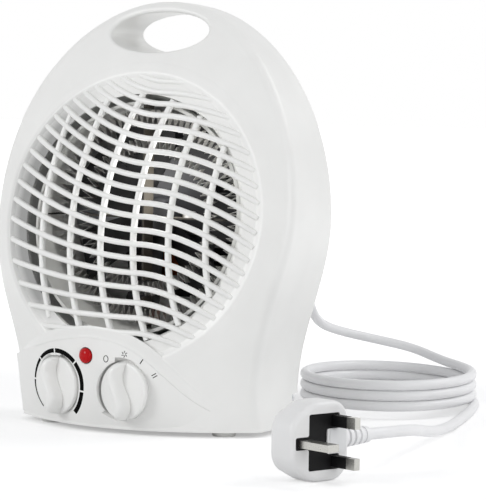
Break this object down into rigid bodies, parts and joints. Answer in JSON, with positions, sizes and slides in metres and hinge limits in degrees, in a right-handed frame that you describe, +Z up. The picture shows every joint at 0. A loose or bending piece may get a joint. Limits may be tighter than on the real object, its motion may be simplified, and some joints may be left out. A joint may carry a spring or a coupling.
{
  "type": "fan heater",
  "caption": "Upright portable fan heater: egg-shaped white casing with carry handle, wavy domed grille, two rotary controls, lamp, coiled mains lead and plug.",
  "frame": {"origin": "on the floor under the middle of the casing's box", "axes": "+Z up, the grille faces -Y, +X to the right seen from the front"},
  "size_m": [0.3206, 0.448, 0.2695],
  "materials": {
    "casing_white": "white moulded ABS, satin gloss",
    "control_white": "white moulded ABS, glossy",
    "lamp_red": "clear red moulded lens",
    "feet_rubber": "pale grey rubber",
    "screw_steel": "zinc-plated steel",
    "duct_grey": "light grey heat-resistant plastic",
    "mica": "silver-grey pressed mica",
    "element_alloy": "bright resistance ribbon",
    "safety_metal": "pressed aluminium cap",
    "safety_body": "glazed body",
    "fan_black": "black moulded nylon",
    "motor_steel": "laminated and plated steel",
    "bearing_bronze": "sintered bronze",
    "coil_copper": "enamelled copper under tape",
    "control_black": "black thermoset",
    "shaft_steel": "plated steel",
    "cord_white": "white PVC sheath",
    "clamp_white": "nylon",
    "plug_white": "white moulded PVC",
    "plug_black": "black moulded base",
    "fuse_grey": "pale grey fuse carrier",
    "pin_brass": "nickel-plated brass"
  },
  "bodies": {
    "casing": {"front_shell": "casing_white", "front_grille": "casing_white", "grille_ribs": "casing_white", "rear_shell": "casing_white", "rear_grille": "casing_white", "lamp_lens": "lamp_red", "feet": "feet_rubber", "casing_screws": "screw_steel", "duct_screws": "screw_steel", "motor_screws": "screw_steel", "fan_duct": "duct_grey", "mica_board_level": "mica", "mica_board_upright": "mica", "element_outer": "element_alloy", "element_inner": "element_alloy", "thermal_cutout": "safety_metal", "thermal_fuse": "safety_body", "neon_lamp": "safety_body", "motor_stator": "motor_steel", "motor_bracket_front": "motor_steel", "motor_bracket_rear": "motor_steel", "bearing_front": "bearing_bronze", "bearing_rear": "bearing_bronze", "motor_coil": "coil_copper", "thermostat_body": "control_black", "switch_body": "control_black", "lamp_holder": "control_black", "terminal_block": "control_black", "cord_gland": "cord_white", "cord_inner": "cord_white", "cord_lead": "cord_white", "cord_coil": "cord_white", "cord_tail": "cord_white", "plug_strain_relief": "cord_white", "cord_clamp": "clamp_white", "plug_body": "plug_white", "plug_insert": "plug_black", "plug_fuse_carrier": "fuse_grey", "plug_line_pin": "pin_brass", "plug_neutral_pin": "pin_brass", "plug_earth_pin": "pin_brass"},
    "fan": {"fan_impeller": "fan_black", "motor_shaft": "motor_steel", "motor_rotor": "motor_steel"},
    "thermostat": {"thermostat_knob": "control_white", "thermostat_shaft": "shaft_steel"},
    "switch": {"switch_knob": "control_white", "switch_shaft": "shaft_steel"}
  },
  "joints": [
    {"name": "fan_spin", "type": "hinge", "parent": "casing", "child": "fan", "pos_m": [0, 0.0135, 0.133], "axis": [0, 1, 0], "continuous": true},
    {"name": "thermostat_turn", "type": "hinge", "parent": "casing", "child": "thermostat", "pos_m": [-0.0419, -0.04199, 0.0275], "axis": [0.2924, 0.9563, 0], "range_deg": [-135, 135]},
    {"name": "switch_turn", "type": "hinge", "parent": "casing", "child": "switch", "pos_m": [0.01006, -0.04865, 0.0275], "axis": [0.1736, 0.9848, 0], "range_deg": [-36, 72]}
  ]
}
